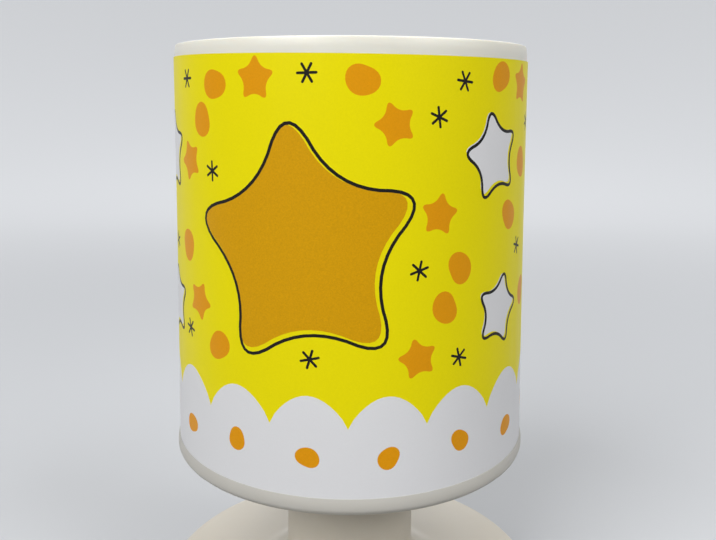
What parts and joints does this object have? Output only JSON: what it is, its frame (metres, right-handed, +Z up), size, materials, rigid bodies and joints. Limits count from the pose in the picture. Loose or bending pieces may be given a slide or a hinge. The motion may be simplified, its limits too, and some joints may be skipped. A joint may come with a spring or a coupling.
{
  "type": "kids table lamp",
  "caption": "Small children's table lamp: ivory moulded foot and neck, a white tapered shade tube in a printed yellow sleeve, a screw bulb and a rocker switch.",
  "frame": {"origin": "middle of the circle that the four rubber pads stand on, at table level", "axes": "+Z up along the neck and shade, -Y to the front (the pictured side, with the switch), +X to the right seen from the front"},
  "size_m": [0.138, 0.138, 0.2094],
  "materials": {
    "ivory_plastic": "satin moulded",
    "shade_plastic": "satin translucent white",
    "printed_film": "satin printed film, fine grain",
    "white_plastic": "satin",
    "black_plastic": "matt",
    "holder_plastic": "satin",
    "holder_ceramic": "matt",
    "pad_rubber": "matt",
    "steel_screw": "zinc plated",
    "steel_plate": "zinc plated",
    "brass_contact": "plain",
    "bulb_cap_metal": "nickel plated",
    "opal_plastic": "opal, satin",
    "blue_insulation": "matt",
    "brown_insulation": "matt"
  },
  "bodies": {
    "base": {"foot_shell": "ivory_plastic", "foot_cover": "ivory_plastic", "cover_screw_1": "steel_screw", "cover_screw_2": "steel_screw", "cover_screw_3": "steel_screw", "cover_screw_4": "steel_screw", "foot_pad_1": "pad_rubber", "foot_pad_2": "pad_rubber", "foot_pad_3": "pad_rubber", "foot_pad_4": "pad_rubber", "ballast_plate": "steel_plate", "ballast_screw_1": "steel_screw", "ballast_screw_2": "steel_screw", "ballast_screw_3": "steel_screw", "cable_inlet_bush": "black_plastic", "cord_clamp_bar": "black_plastic", "cord_clamp_screw_1": "steel_screw", "cord_clamp_screw_2": "steel_screw", "terminal_block": "white_plastic", "terminal_sleeve_1": "brass_contact", "terminal_sleeve_2": "brass_contact", "terminal_screw_1": "steel_screw", "terminal_screw_2": "steel_screw", "terminal_screw_3": "steel_screw", "terminal_screw_4": "steel_screw", "terminal_fixing_screw": "steel_screw", "switch_housing": "white_plastic", "switch_tab_1": "brass_contact", "switch_tab_2": "brass_contact", "threaded_nipple": "steel_plate", "nipple_washer": "steel_plate", "nipple_nut": "steel_plate", "gallery_dish": "ivory_plastic", "holder_cap": "holder_plastic", "holder_contact_block": "holder_ceramic", "holder_screw_shell": "brass_contact", "holder_centre_contact": "brass_contact", "holder_barrel": "holder_plastic", "holder_terminal_screw_1": "steel_screw", "holder_terminal_screw_2": "steel_screw", "lead_neutral": "blue_insulation", "lead_feed": "brown_insulation", "lead_switched": "brown_insulation"},
    "rocker": {"switch_rocker": "white_plastic"},
    "bulb": {"bulb_tip_contact": "brass_contact", "bulb_insulator": "black_plastic", "bulb_cap": "bulb_cap_metal", "bulb_collar": "white_plastic", "bulb_globe": "opal_plastic"},
    "shade": {"shade_tube": "shade_plastic", "print_sleeve": "printed_film"}
  },
  "joints": [
    {"name": "switch_rock", "type": "hinge", "parent": "base", "child": "rocker", "pos_m": [0, -0.052, 0.0194], "axis": [1, 0, 0], "range_deg": [0, 16]},
    {"name": "bulb_out", "type": "slide", "parent": "base", "child": "bulb", "axis": [0, 0, 1], "range_m": [0, 0.112]},
    {"name": "shade_lift", "type": "slide", "parent": "base", "child": "shade", "axis": [0, 0, 1], "range_m": [0, 0.106]}
  ]
}
